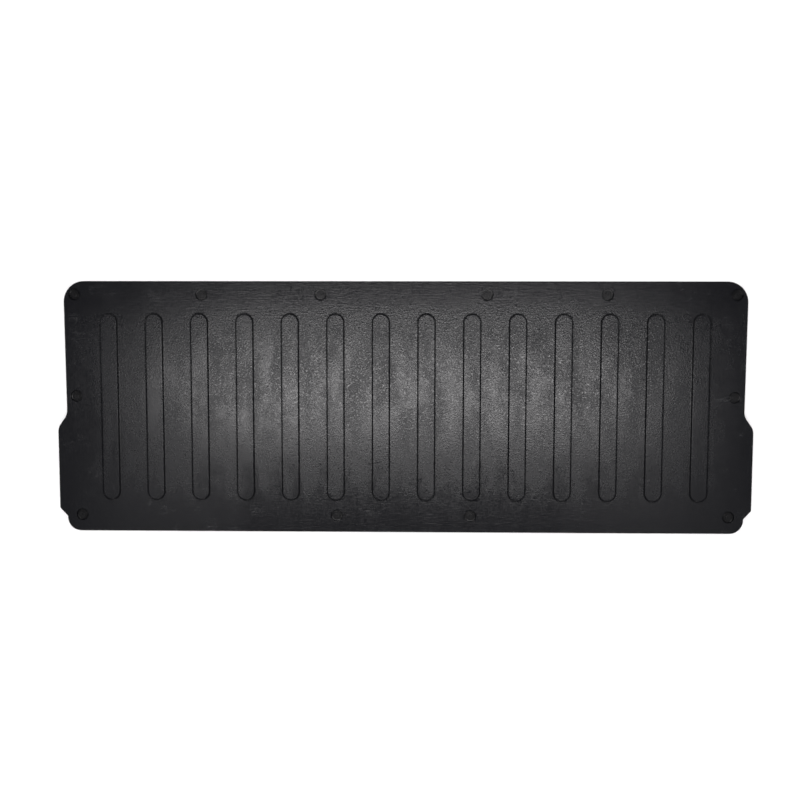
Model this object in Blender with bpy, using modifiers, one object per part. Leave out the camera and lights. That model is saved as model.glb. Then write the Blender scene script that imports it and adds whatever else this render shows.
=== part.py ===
"""Pickup tailgate mat: one rubber moulding with raised ribs, held down by twelve screws and washers.

The frame is the tailgate's inner face: +X along the tailgate's width, +Y towards the mat's
plain end edge, +Z out of the face. The origin is the centre of the mat's flat underside.
"""

import math

import bmesh
import bpy
from mathutils import Matrix, Vector

# Outline, in metres from the centre. The upper and lower ends are narrower than the side tabs.
HALF_DEPTH = 0.2820
UPPER_HALF_WIDTH = 0.7610
WAIST_HALF_WIDTH = 0.7590
TAB_HALF_WIDTH = 0.7800
LOWER_HALF_WIDTH = 0.7625
SHOULDER_TOP_Y = -0.0170
SHOULDER_FOOT_Y = -0.0465
TAB_FOOT_Y = -0.2300
NOTCH_Y = -0.2490
UPPER_CORNER_RADIUS = 0.0465
SHOULDER_RADIUS = 0.030
TAB_FOOT_RADIUS = 0.006
LOWER_CORNER_RADIUS = 0.030
ARC_STEP = math.radians(15)

# Sheet and ribs
SHEET_THICKNESS = 0.00635
SHEET_EDGE_RADIUS = 0.0015
RIB_COUNT = 14
RIB_PITCH = 0.1016
RIB_WIDTH = 0.0389
RIB_LENGTH = 0.4199
RIB_HEIGHT = 0.0032
RIB_EDGE_RADIUS = 0.0018
RIB_ROOT = 0.0020
RIB_END_SEGMENTS = 10

# Screw seats: a cone-sided pocket with a flat floor and a clearance hole
SEAT_MOUTH_RADIUS = 0.0133
SEAT_FLOOR_RADIUS = 0.0118
SEAT_FLOOR_Z = 0.0016
SEAT_HOLE_RADIUS = 0.0028
SEAT_SEGMENTS = 24
UPPER_ROW_Y = 0.2525
UPPER_ROW_X = (0.7365, 0.4515, 0.1855)
SIDE_SEAT = (0.7365, 0.0250)
LOWER_ROW_Y = -0.2445
LOWER_ROW_X = (0.7290, 0.1505)

# Fasteners: number 10 low-head screw and flat washer
FIT_GAP = 0.0003
WASHER_RADIUS = 0.0095
WASHER_HOLE_RADIUS = 0.0027
WASHER_THICKNESS = 0.0012
HEAD_RADIUS = 0.0055
HEAD_TOP_RADIUS = 0.0050
HEAD_HEIGHT = 0.0021
HEAD_RIM = 0.0015
SHANK_RADIUS = 0.0024
SHANK_LENGTH = 0.0127
POINT_LENGTH = 0.0042
POINT_RADIUS = 0.0003
DRIVE_SPAN = 0.0052
DRIVE_WIDTH = 0.0010
DRIVE_DEPTH = 0.0014
HEAD_EDGE_STEPS = 3
FASTENER_SEGMENTS = 16

EDGE_STEPS = 2
SHARP_ANGLE = math.radians(35)
CUT_MARGIN = 0.002
WELD_DISTANCE = 0.000001


def clear_scene():
    """Remove what the startup file holds."""
    for obj in list(bpy.data.objects):
        bpy.data.objects.remove(obj, do_unlink=True)


def new_collection(name, shown):
    """A collection in the scene; a hidden one holds helpers that are cut with or joined on."""
    collection = bpy.data.collections.new(name)
    collection.hide_render = not shown
    bpy.context.scene.collection.children.link(collection)
    return collection


def new_material(name, colour, roughness, metallic):
    """A plain Principled material."""
    material = bpy.data.materials.new(name)
    material.use_nodes = True
    shader = material.node_tree.nodes["Principled BSDF"]
    shader.inputs["Base Color"].default_value = (*colour, 1.0)
    shader.inputs["Roughness"].default_value = roughness
    shader.inputs["Metallic"].default_value = metallic
    return material


def rounded(corners):
    """The closed outline through (x, y, radius) corners, each turned into an arc of that radius."""
    points = []
    for index, (x, y, radius) in enumerate(corners):
        corner = Vector((x, y))
        before = (Vector(corners[index - 1][:2]) - corner).normalized()
        after = (Vector(corners[(index + 1) % len(corners)][:2]) - corner).normalized()
        half_angle = before.angle(after) / 2
        centre = corner + (before + after).normalized() * radius / math.sin(half_angle)
        start = corner + before * radius / math.tan(half_angle) - centre
        sweep = start.angle_signed(corner + after * radius / math.tan(half_angle) - centre)
        steps = max(2, math.ceil(abs(sweep) / ARC_STEP))
        for step in range(steps + 1):
            turned = Matrix.Rotation(-sweep * step / steps, 2) @ start
            points.append(centre + turned)
    return points


def mat_outline():
    """The sheet's outline: the right side's corners, then the same ones mirrored."""
    right = [
        (UPPER_HALF_WIDTH, HALF_DEPTH, UPPER_CORNER_RADIUS),
        (WAIST_HALF_WIDTH, SHOULDER_TOP_Y, SHOULDER_RADIUS),
        (TAB_HALF_WIDTH, SHOULDER_FOOT_Y, SHOULDER_RADIUS),
        (TAB_HALF_WIDTH, TAB_FOOT_Y, TAB_FOOT_RADIUS),
        (LOWER_HALF_WIDTH, NOTCH_Y, TAB_FOOT_RADIUS),
        (LOWER_HALF_WIDTH, -HALF_DEPTH, LOWER_CORNER_RADIUS),
    ]
    left = [(-x, y, radius) for x, y, radius in reversed(right)]
    return rounded(right + left)


def rib_outline():
    """One rib's outline: two straight sides and two half-round ends."""
    radius = RIB_WIDTH / 2
    straight = RIB_LENGTH / 2 - radius
    points = []
    for end in (1, -1):
        for step in range(RIB_END_SEGMENTS + 1):
            angle = math.pi * step / RIB_END_SEGMENTS
            x = end * radius * math.cos(angle)
            y = end * (straight + radius * math.sin(angle))
            points.append(Vector((x, y)))
    return points


def plate(name, outline, low, high, edge_radius, collection):
    """A flat solid with this outline between two heights, its long edges rounded."""
    curve = bpy.data.curves.new(name, "CURVE")
    curve.dimensions = "2D"
    curve.fill_mode = "BOTH"
    curve.extrude = (high - low) / 2 - edge_radius
    curve.bevel_depth = edge_radius
    curve.bevel_resolution = EDGE_STEPS - 1
    curve.offset = -edge_radius
    spline = curve.splines.new("POLY")
    spline.points.add(len(outline) - 1)
    for spline_point, point in zip(spline.points, outline):
        spline_point.co = (point.x, point.y, 0, 1)
    spline.use_cyclic_u = True
    drawn = bpy.data.objects.new(name + "_curve", curve)
    bpy.context.scene.collection.objects.link(drawn)
    drawn.location.z = (low + high) / 2
    mesh = evaluated_mesh(drawn)
    weld_mesh(mesh)
    solid = bpy.data.objects.new(name, mesh)
    solid.matrix_world = drawn.matrix_world.copy()
    bpy.data.objects.remove(drawn)
    collection.objects.link(solid)
    return solid


def weld_mesh(mesh):
    """Join the loose caps of a curve's mesh, or the seam of a turned one, and face it outwards."""
    body = bmesh.new()
    body.from_mesh(mesh)
    bmesh.ops.remove_doubles(body, verts=body.verts, dist=WELD_DISTANCE)
    bmesh.ops.recalc_face_normals(body, faces=body.faces)
    body.to_mesh(mesh)
    body.free()


def turned_mesh(name, profile, segments):
    """A solid of revolution about Z from (radius, z) points that run down its outer side."""
    line = bpy.data.meshes.new(name + "_profile")
    edges = [(index, index + 1) for index in range(len(profile) - 1)]
    line.from_pydata([(radius, 0, z) for radius, z in profile], edges, [])
    drawn = bpy.data.objects.new(name + "_profile", line)
    bpy.context.scene.collection.objects.link(drawn)
    turn = drawn.modifiers.new("Turn", "SCREW")
    turn.steps = segments
    turn.render_steps = segments
    turn.use_merge_vertices = True
    turn.merge_threshold = WELD_DISTANCE
    mesh = evaluated_mesh(drawn)
    bpy.data.objects.remove(drawn)
    weld_mesh(mesh)
    mesh.name = name
    mesh.shade_smooth()
    mesh.set_sharp_from_angle(angle=SHARP_ANGLE)
    return mesh


def evaluated_mesh(obj):
    """A new mesh of the object as its modifiers or its curve make it."""
    bpy.context.view_layer.update()
    return bpy.data.meshes.new_from_object(obj.evaluated_get(bpy.context.evaluated_depsgraph_get()))


def add_object(name, mesh, location, collection):
    """An object of this mesh at this place."""
    obj = bpy.data.objects.new(name, mesh)
    obj.location = location
    collection.objects.link(obj)
    return obj


def as_helper(obj):
    """Show a cutting or joining body as a wire only."""
    obj.hide_render = True
    obj.display_type = "WIRE"


def add_boolean(obj, operation, collection):
    """Join or cut an object with everything in a helper collection."""
    modifier = obj.modifiers.new(operation.title(), "BOOLEAN")
    modifier.operation = operation
    modifier.operand_type = "COLLECTION"
    modifier.collection = collection
    modifier.solver = "EXACT"


def seat_places():
    """The seats' (x, y), clockwise from the upper left corner."""
    upper = [(-x, UPPER_ROW_Y) for x in UPPER_ROW_X] + [(x, UPPER_ROW_Y) for x in reversed(UPPER_ROW_X)]
    lower = [(x, LOWER_ROW_Y) for x in LOWER_ROW_X] + [(-x, LOWER_ROW_Y) for x in reversed(LOWER_ROW_X)]
    side_x, side_y = SIDE_SEAT
    return upper + [(side_x, side_y)] + lower + [(-side_x, side_y)]


def seat_cutter_mesh():
    """The room of one seat: its cone-sided pocket and the clearance hole below the floor."""
    slope = (SEAT_MOUTH_RADIUS - SEAT_FLOOR_RADIUS) / (SHEET_THICKNESS - SEAT_FLOOR_Z)
    top_z = SHEET_THICKNESS + CUT_MARGIN
    profile = [
        (0, top_z),
        (SEAT_MOUTH_RADIUS + slope * CUT_MARGIN, top_z),
        (SEAT_FLOOR_RADIUS, SEAT_FLOOR_Z),
        (SEAT_HOLE_RADIUS, SEAT_FLOOR_Z),
        (SEAT_HOLE_RADIUS, -CUT_MARGIN),
        (0, -CUT_MARGIN),
    ]
    return turned_mesh("seat_room", profile, SEAT_SEGMENTS)


def add_mat(parts, material):
    """The moulding: the sheet, the ribs joined to it and the seats cut into it."""
    ribs = new_collection("rib_blanks", shown=False)
    for index in range(RIB_COUNT):
        low = SHEET_THICKNESS - RIB_ROOT
        high = SHEET_THICKNESS + RIB_HEIGHT
        rib = plate(f"rib_blank_{index + 1:02d}", rib_outline(), low, high, RIB_EDGE_RADIUS, ribs)
        rib.location.x = (index - (RIB_COUNT - 1) / 2) * RIB_PITCH
        as_helper(rib)
    seats = new_collection("seat_rooms", shown=False)
    room = seat_cutter_mesh()
    for index, (x, y) in enumerate(seat_places()):
        as_helper(add_object(f"seat_room_{index + 1:02d}", room, (x, y, 0), seats))
    mat = plate("mat", mat_outline(), 0, SHEET_THICKNESS, SHEET_EDGE_RADIUS, parts)
    mat.data.materials.append(material)
    add_boolean(mat, "UNION", ribs)
    add_boolean(mat, "DIFFERENCE", seats)


def washer_mesh():
    """A flat washer, its underside at z = 0."""
    profile = [
        (WASHER_HOLE_RADIUS, WASHER_THICKNESS),
        (WASHER_RADIUS, WASHER_THICKNESS),
        (WASHER_RADIUS, 0),
        (WASHER_HOLE_RADIUS, 0),
        (WASHER_HOLE_RADIUS, WASHER_THICKNESS),
    ]
    return turned_mesh("washer", profile, FASTENER_SEGMENTS)


def screw_mesh():
    """A flat-topped low head with a cross drive, a shank and a point; z = 0 is under the head."""
    edge_width = HEAD_RADIUS - HEAD_TOP_RADIUS
    edge_height = HEAD_HEIGHT - HEAD_RIM
    head = [(0, HEAD_HEIGHT)]
    for step in range(HEAD_EDGE_STEPS + 1):
        angle = math.pi / 2 * step / HEAD_EDGE_STEPS
        radius = HEAD_TOP_RADIUS + edge_width * math.sin(angle)
        head.append((radius, HEAD_RIM + edge_height * math.cos(angle)))
    shank = [
        (HEAD_RADIUS, 0),
        (SHANK_RADIUS, 0),
        (SHANK_RADIUS, POINT_LENGTH - SHANK_LENGTH),
        (POINT_RADIUS, -SHANK_LENGTH),
        (0, -SHANK_LENGTH),
    ]
    turned = turned_mesh("screw_blank", head + shank, FASTENER_SEGMENTS)
    blank = bpy.data.objects.new("screw_blank", turned)
    bpy.context.scene.collection.objects.link(blank)
    drive = new_collection("drive_blades", shown=False)
    for turn in (0, math.pi / 2):
        blade = bmesh.new()
        size = Matrix.Diagonal((DRIVE_SPAN, DRIVE_WIDTH, DRIVE_DEPTH * 2, 1))
        lift = Matrix.Translation((0, 0, HEAD_HEIGHT))
        bmesh.ops.create_cube(blade, size=1, matrix=lift @ Matrix.Rotation(turn, 4, "Z") @ size)
        mesh = bpy.data.meshes.new("drive_blade")
        blade.to_mesh(mesh)
        blade.free()
        as_helper(add_object("drive_blade", mesh, (0, 0, 0), drive))
    add_boolean(blank, "DIFFERENCE", drive)
    mesh = evaluated_mesh(blank)
    bpy.data.objects.remove(blank)
    mesh.name = "screw"
    return mesh


def add_fasteners(parts, washer_material, screw_material):
    """A washer on each seat's floor and a screw through it."""
    washer = washer_mesh()
    washer.materials.append(washer_material)
    screw = screw_mesh()
    screw.materials.clear()
    screw.materials.append(screw_material)
    washer_z = SEAT_FLOOR_Z + FIT_GAP
    screw_z = washer_z + WASHER_THICKNESS + FIT_GAP
    for index, (x, y) in enumerate(seat_places()):
        add_object(f"washer_{index + 1:02d}", washer, (x, y, washer_z), parts)
        add_object(f"screw_{index + 1:02d}", screw, (x, y, screw_z), parts)


def main():
    clear_scene()
    parts = new_collection("tailgate_mat", shown=True)
    rubber = new_material("moulded_rubber", (0.018, 0.018, 0.019), 0.45, 0.0)
    plating = new_material("black_zinc", (0.030, 0.030, 0.032), 0.40, 0.9)
    coating = new_material("black_phosphate", (0.022, 0.022, 0.022), 0.50, 0.8)
    add_mat(parts, rubber)
    add_fasteners(parts, plating, coating)


main()
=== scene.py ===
"""The tailgate mat's finished look: moulded rubber, blackened screws and washers, floor, light and camera.

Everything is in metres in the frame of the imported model: +X along the tailgate, +Y towards the
mat's plain end edge, +Z out of the ribbed face, with the underside at z = 0.
"""

from __future__ import annotations

import logging
import math
from dataclasses import dataclass, field
from enum import Enum
from typing import Sequence

import bmesh
import bpy
import numpy as np
from mathutils import Matrix, Vector, noise
from mathutils.geometry import delaunay_2d_cdt


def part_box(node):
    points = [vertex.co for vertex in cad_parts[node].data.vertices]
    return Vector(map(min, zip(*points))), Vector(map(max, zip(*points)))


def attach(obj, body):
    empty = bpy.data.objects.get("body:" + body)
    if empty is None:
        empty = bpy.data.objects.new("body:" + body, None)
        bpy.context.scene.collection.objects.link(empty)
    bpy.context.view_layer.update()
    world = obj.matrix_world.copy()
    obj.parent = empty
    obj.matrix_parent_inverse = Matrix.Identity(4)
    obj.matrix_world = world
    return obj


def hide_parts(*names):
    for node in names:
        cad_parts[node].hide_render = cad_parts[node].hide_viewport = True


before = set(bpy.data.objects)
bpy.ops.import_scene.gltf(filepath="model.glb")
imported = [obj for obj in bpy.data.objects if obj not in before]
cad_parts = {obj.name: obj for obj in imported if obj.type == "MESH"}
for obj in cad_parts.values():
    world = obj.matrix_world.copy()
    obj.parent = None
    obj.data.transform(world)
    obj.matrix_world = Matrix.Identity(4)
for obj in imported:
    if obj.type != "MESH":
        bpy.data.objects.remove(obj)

LOG = logging.getLogger("tailgate_mat")
BODY = "root"
WELD_DISTANCE = 1e-6

Place = tuple[float, float]
Corner = tuple[float, float, float]
Colour = tuple[float, float, float]
Ring = list[int]


class SocketType(Enum):
    """The kinds of socket that the shader node groups carry."""

    VALUE = "NodeSocketFloat"
    VECTOR = "NodeSocketVector"


class Direction(Enum):
    """Which way a node group's socket faces."""

    IN = "INPUT"
    OUT = "OUTPUT"


class Slot(Enum):
    """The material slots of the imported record."""

    RUBBER = "moulded_rubber"
    ZINC = "black_zinc"
    PHOSPHATE = "black_phosphate"


# ---------------------------------------------------------------------------------------------
# Outlines


@dataclass(frozen=True)
class Outline:
    """A closed plan outline, as points with their outward normals, so that it can be inset exactly.

    Attributes:
        points: One (x, y) row for each point, anticlockwise.
        normals: The outward unit normal at each point.
    """

    points: np.ndarray
    normals: np.ndarray

    def inset(self, distance: float) -> np.ndarray:
        """The outline moved inwards by a distance, point for point."""
        return self.points - self.normals * distance

    @classmethod
    def from_corners(cls, corners: Sequence[Corner], arc_step: float, run_step: float) -> Outline:
        """Round each corner with an arc and divide the straight runs.

        Args:
            corners: (x, y, radius) of each corner, clockwise.
            arc_step: Largest angle between two points of an arc, in radians.
            run_step: Largest distance between two points of a straight run.

        Returns:
            The outline, anticlockwise.
        """
        points: list[Vector] = []
        normals: list[Vector] = []
        for index, (x, y, radius) in enumerate(corners):
            corner = Vector((x, y))
            before = (Vector(corners[index - 1][:2]) - corner).normalized()
            after = (Vector(corners[(index + 1) % len(corners)][:2]) - corner).normalized()
            half_angle = before.angle(after) / 2
            centre = corner + (before + after).normalized() * radius / math.sin(half_angle)
            start = corner + before * radius / math.tan(half_angle) - centre
            end = corner + after * radius / math.tan(half_angle) - centre
            sweep = start.angle_signed(end)
            outward = 1.0 if sweep > 0 else -1.0
            steps = max(2, math.ceil(abs(sweep) / arc_step))
            for step in range(steps + 1):
                arm = Matrix.Rotation(-sweep * step / steps, 2) @ start
                points.append(centre + arm)
                normals.append(arm.normalized() * outward)
        return cls._divided(points, normals, run_step)

    @classmethod
    def obround(cls, width: float, length: float, end_steps: int, run_step: float) -> Outline:
        """A slot shape with half-round ends, along Y and centred on the origin.

        Args:
            width: Width across the slot.
            length: Whole length.
            end_steps: Facets round each end.
            run_step: Longest step along a straight run.

        Returns:
            The closed outline.
        """
        radius = width / 2
        straight = length / 2 - radius
        points: list[Vector] = []
        normals: list[Vector] = []
        for end in (1, -1):
            for step in range(end_steps + 1):
                angle = math.pi * step / end_steps
                arm = Vector((math.cos(angle), math.sin(angle))) * end
                points.append(Vector((0, end * straight)) + arm * radius)
                normals.append(arm)
        return cls._divided(points, normals, run_step)

    @classmethod
    def _divided(cls, points: list[Vector], normals: list[Vector], run_step: float) -> Outline:
        """Add points along each straight run and put the outline anticlockwise.

        Args:
            points: The corners in order.
            normals: The outward direction at each.
            run_step: Longest step along a straight run.

        Returns:
            The outline with its added points.
        """
        found_points: list[Vector] = []
        found_normals: list[Vector] = []
        for index, point in enumerate(points):
            following = (index + 1) % len(points)
            straight = (normals[index] - normals[following]).length < 1e-4
            pieces = max(1, math.ceil((points[following] - point).length / run_step)) if straight else 1
            for piece in range(pieces):
                found_points.append(point.lerp(points[following], piece / pieces))
                found_normals.append(normals[index])
        plan = np.array([tuple(point) for point in found_points])
        across = np.array([tuple(normal) for normal in found_normals])
        ahead = np.roll(plan, -1, axis=0)
        area = np.sum(plan[:, 0] * ahead[:, 1] - plan[:, 1] * ahead[:, 0])
        if area < 0:
            plan, across = plan[::-1], across[::-1]
        return cls(plan, across)

    @classmethod
    def circle(cls, steps: int) -> Outline:
        """A point at the origin with normals all round: inset(-r) is a circle of radius r."""
        angles = np.arange(steps) * math.tau / steps
        across = np.stack([np.cos(angles), np.sin(angles)], axis=1)
        return cls(np.zeros_like(across), across)


def arc_profile(start: Place, radius: float, first: float, last: float, steps: int) -> list[Place]:
    """Points of an arc in a profile.

    Args:
        start: The arc's first point.
        radius: Its radius.
        first: The angle of its arm at the first point, in degrees.
        last: The angle of its arm at the last point, in degrees.
        steps: The number of pieces it is divided into.

    Returns:
        The points, from the first to the last.
    """
    first_arm = math.radians(first)
    points = []
    for step in range(steps + 1):
        arm = math.radians(first + (last - first) * step / steps)
        across = start[0] + radius * (math.cos(arm) - math.cos(first_arm))
        points.append((across, start[1] + radius * (math.sin(arm) - math.sin(first_arm))))
    return points


# ---------------------------------------------------------------------------------------------
# Surface building


@dataclass
class SurfaceBuilder:
    """Collects rings of points and the faces between them, then makes one closed mesh.

    Attributes:
        points: The (x, y, z) points so far.
        faces: The faces so far, as point numbers.
    """

    points: list[tuple[float, float, float]] = field(default_factory=list)
    faces: list[tuple[int, ...]] = field(default_factory=list)

    def ring(self, plan: np.ndarray, height: float) -> Ring:
        """Add one closed ring of points at a height and return their numbers."""
        first = len(self.points)
        self.points.extend((float(x), float(y), height) for x, y in plan)
        return list(range(first, len(self.points)))

    def band(self, below: Ring, above: Ring) -> None:
        """Join two rings of equal count with quads that face away from the ring's inside.

        Args:
            below: The lower ring.
            above: The upper ring.
        """
        count = len(below)
        for index in range(count):
            following = (index + 1) % count
            self.faces.append((below[index], below[following], above[following], above[index]))

    def bands(self, rings: Sequence[Ring]) -> None:
        """Join each ring to the next."""
        for below, above in zip(rings, rings[1:]):
            self.band(below, above)

    def fill(self, loops: Sequence[Ring], grid: np.ndarray, height: float, facing_up: bool = True) -> None:
        """Fill the flat region between the loops with triangles through the grid's points.

        Args:
            loops: The region's edges. A point is in the region if an odd number of loops hold it.
            grid: (x, y) rows of extra points inside the region.
            height: The height of the extra points.
            facing_up: Whether the triangles face +Z or -Z.
        """
        numbers = [number for loop in loops for number in loop]
        numbers += self.ring(grid, height)
        plan = [Vector(self.points[number][:2]) for number in numbers]
        edges: list[tuple[int, int]] = []
        first = 0
        for loop in loops:
            edges += [(first + index, first + (index + 1) % len(loop)) for index in range(len(loop))]
            first += len(loop)
        _, _, triangles, sources, _, _ = delaunay_2d_cdt(plan, edges, [], 0, WELD_DISTANCE)
        flat = np.array([tuple(point) for point in plan])
        corners = np.array([[sources[corner][0] for corner in triangle] for triangle in triangles])
        inside = self.inside(flat[corners].mean(axis=1), flat, np.array(edges))
        for triangle in corners[inside]:
            face = tuple(numbers[corner] for corner in triangle)
            self.faces.append(face if facing_up else face[::-1])

    @staticmethod
    def inside(places: np.ndarray, flat: np.ndarray, edges: np.ndarray) -> np.ndarray:
        """Whether each place is in the region: a ray from it crosses an odd number of edges.

        Args:
            places: The places to test.
            flat: The plan places of all points.
            edges: Pairs of point numbers that bound the region.

        Returns:
            True for each place inside.
        """
        start, end = flat[edges[:, 0]], flat[edges[:, 1]]
        crossings = np.zeros(len(places), int)
        for (x1, y1), (x2, y2) in zip(start, end):
            if y1 == y2:
                continue
            spans = (places[:, 1] < max(y1, y2)) & (places[:, 1] >= min(y1, y2))
            reach = x1 + (places[:, 1] - y1) * (x2 - x1) / (y2 - y1)
            crossings += spans & (places[:, 0] < reach)
        return crossings % 2 == 1

    def mesh(self, name: str, sharp_degrees: float = 40.0) -> bpy.types.Mesh:
        """The mesh of all the faces, smooth but for edges sharper than the given angle.

        Args:
            name: The mesh's name.
            sharp_degrees: Edges sharper than this stay sharp.

        Returns:
            The finished mesh.
        """
        mesh = bpy.data.meshes.new(name)
        mesh.from_pydata(self.points, [], self.faces)
        mesh.validate()
        mesh.shade_smooth()
        mesh.set_sharp_from_angle(angle=math.radians(sharp_degrees))
        return mesh


def turned(name: str, profile: Sequence[tuple[float, float]], steps: int) -> bpy.types.Mesh:
    """A solid of revolution about Z.

    Args:
        name: The mesh's name.
        profile: (radius, z) points that run down the outer side.
        steps: The number of facets round the axis.

    Returns:
        The closed, smooth mesh.
    """
    body = bmesh.new()
    line = [body.verts.new((radius, 0, z)) for radius, z in profile]
    for first, second in zip(line, line[1:]):
        body.edges.new((first, second))
    whole = body.verts[:] + body.edges[:]
    bmesh.ops.spin(body, geom=whole, cent=(0, 0, 0), axis=(0, 0, 1), angle=math.tau, steps=steps)
    bmesh.ops.remove_doubles(body, verts=body.verts, dist=WELD_DISTANCE)
    bmesh.ops.recalc_face_normals(body, faces=body.faces)
    mesh = bpy.data.meshes.new(name)
    body.to_mesh(mesh)
    body.free()
    mesh.shade_smooth()
    mesh.set_sharp_from_angle(angle=math.radians(40))
    return mesh


def place(
    name: str, mesh: bpy.types.Mesh, node: str, slot: Slot, matrix: Matrix | None = None
) -> bpy.types.Object:
    """Put a finished mesh in the scene as the piece that stands for a CAD node.

    Args:
        name: The piece's name.
        mesh: Its finished mesh.
        node: The CAD node that it replaces.
        slot: The record's slot of its finish; not used.
        matrix: Where it goes; the frame's origin if left out.

    Returns:
        The new object.
    """
    piece = bpy.data.objects.new(name, mesh)
    bpy.context.scene.collection.objects.link(piece)
    piece.matrix_world = matrix or Matrix.Identity(4)
    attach(piece, BODY)
    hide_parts(node)
    return piece


# ---------------------------------------------------------------------------------------------
# Shader node groups and the wiring they share


class Wiring:
    """Short forms for adding and joining nodes in one node tree."""

    def __init__(self, tree: bpy.types.NodeTree) -> None:
        """Work on this tree."""
        self.tree = tree

    def add(self, kind: str, **values: object) -> bpy.types.Node:
        """Add a node and set its properties.

        Args:
            kind: The node's type name.
            values: The node's properties, by name.

        Returns:
            The node.
        """
        node = self.tree.nodes.new(kind)
        for key, value in values.items():
            setattr(node, key, value)
        return node

    def join(self, source: bpy.types.NodeSocket, target: bpy.types.NodeSocket) -> None:
        """Link an output to an input."""
        self.tree.links.new(source, target)

    def math(
        self, operation: str, first: object, second: object = None, third: object = None
    ) -> bpy.types.NodeSocket:
        """A Math node on sockets or numbers; returns its output.

        Args:
            operation: The node's operation.
            first: Its first socket or number.
            second: Its second, if it has one.
            third: Its third, if it has one.

        Returns:
            The node's output.
        """
        node = self.add("ShaderNodeMath", operation=operation)
        for socket, value in zip(node.inputs, (first, second, third)):
            if isinstance(value, bpy.types.NodeSocket):
                self.join(value, socket)
            elif value is not None:
                socket.default_value = value
        return node.outputs[0]

    def noise(
        self, place: bpy.types.NodeSocket, scale: float, detail: float = 3.0, roughness: float = 0.55
    ) -> bpy.types.NodeSocket:
        """A noise pattern's value, from 0 to 1.

        Args:
            place: Where it is read.
            scale: Features per metre.
            detail: Octaves.
            roughness: Weight of each finer octave.

        Returns:
            The value.
        """
        node = self.add("ShaderNodeTexNoise")
        node.inputs["Scale"].default_value = scale
        node.inputs["Detail"].default_value = detail
        node.inputs["Roughness"].default_value = roughness
        self.join(place, node.inputs["Vector"])
        return node.outputs["Fac"]

    def stretch(
        self, place: bpy.types.NodeSocket, scale: tuple[float, float, float], turn: float = 0.0
    ) -> bpy.types.NodeSocket:
        """The place scaled along each axis, after a turn about Z in degrees.

        Args:
            place: The place.
            scale: Factor along each axis.
            turn: Turn about Z, in degrees.

        Returns:
            The changed place.
        """
        node = self.add("ShaderNodeMapping")
        node.inputs["Scale"].default_value = scale
        node.inputs["Rotation"].default_value = (0, 0, math.radians(turn))
        self.join(place, node.inputs["Vector"])
        return node.outputs[0]

    def ramp(
        self, value: bpy.types.NodeSocket, low: float, high: float, to_low: float = 0.0, to_high: float = 1.0
    ) -> bpy.types.NodeSocket:
        """A smooth step of a value from one range to another.

        Args:
            value: The value.
            low: Where the step starts.
            high: Where it ends.
            to_low: Result at the start.
            to_high: Result at the end.

        Returns:
            The stepped value.
        """
        node = self.add("ShaderNodeMapRange", interpolation_type="SMOOTHSTEP")
        for key, number in (("From Min", low), ("From Max", high), ("To Min", to_low), ("To Max", to_high)):
            node.inputs[key].default_value = number
        self.join(value, node.inputs["Value"])
        return node.outputs[0]

    def tint(self, mask: bpy.types.NodeSocket, first: object, second: object) -> bpy.types.NodeSocket:
        """A colour mixed from two colours or sockets by a mask.

        Args:
            mask: 0 for the first colour, 1 for the second.
            first: The first colour or socket.
            second: The second.

        Returns:
            The mixed colour.
        """
        node = self.add("ShaderNodeMix", data_type="RGBA")
        self.join(mask, node.inputs[0])
        for socket, value in ((node.inputs[6], first), (node.inputs[7], second)):
            if isinstance(value, bpy.types.NodeSocket):
                self.join(value, socket)
            else:
                socket.default_value = (*value, 1.0)
        return node.outputs[2]

    def group(self, group: ShaderGroup, **values: object) -> bpy.types.Node:
        """Place a shared group, with numbers or sockets on its inputs.

        Args:
            group: The group.
            values: A number or socket for each input, by its name.

        Returns:
            The group's node.
        """
        node = self.add("ShaderNodeGroup", node_tree=group.tree)
        for key, value in values.items():
            socket = node.inputs[key.replace("_", " ").title()]
            if isinstance(value, bpy.types.NodeSocket):
                self.join(value, socket)
            else:
                socket.default_value = value
        return node


class ShaderGroup:
    """A shader node group with named sockets; a subclass draws what is inside."""

    name = "group"
    inputs: tuple[tuple[str, SocketType, float], ...] = ()
    outputs: tuple[tuple[str, SocketType], ...] = ()

    def __init__(self) -> None:
        """Make the group's tree, its sockets and its nodes."""
        self.tree = bpy.data.node_groups.new(self.name, "ShaderNodeTree")
        for label, kind, value in self.inputs:
            socket = self.tree.interface.new_socket(label, in_out=Direction.IN.value, socket_type=kind.value)
            if kind is SocketType.VALUE:
                socket.default_value = value
        for label, kind in self.outputs:
            self.tree.interface.new_socket(label, in_out=Direction.OUT.value, socket_type=kind.value)
        wiring = Wiring(self.tree)
        entry = wiring.add("NodeGroupInput")
        self.draw(wiring, entry.outputs, wiring.add("NodeGroupOutput").inputs)

    def draw(self, wiring: Wiring, given: bpy.types.NodeOutputs, result: bpy.types.NodeInputs) -> None:
        """Add the group's nodes between its inputs and its outputs.

        Args:
            wiring: The group's wiring.
            given: Its inputs.
            result: Its outputs.
        """
        raise NotImplementedError


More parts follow.
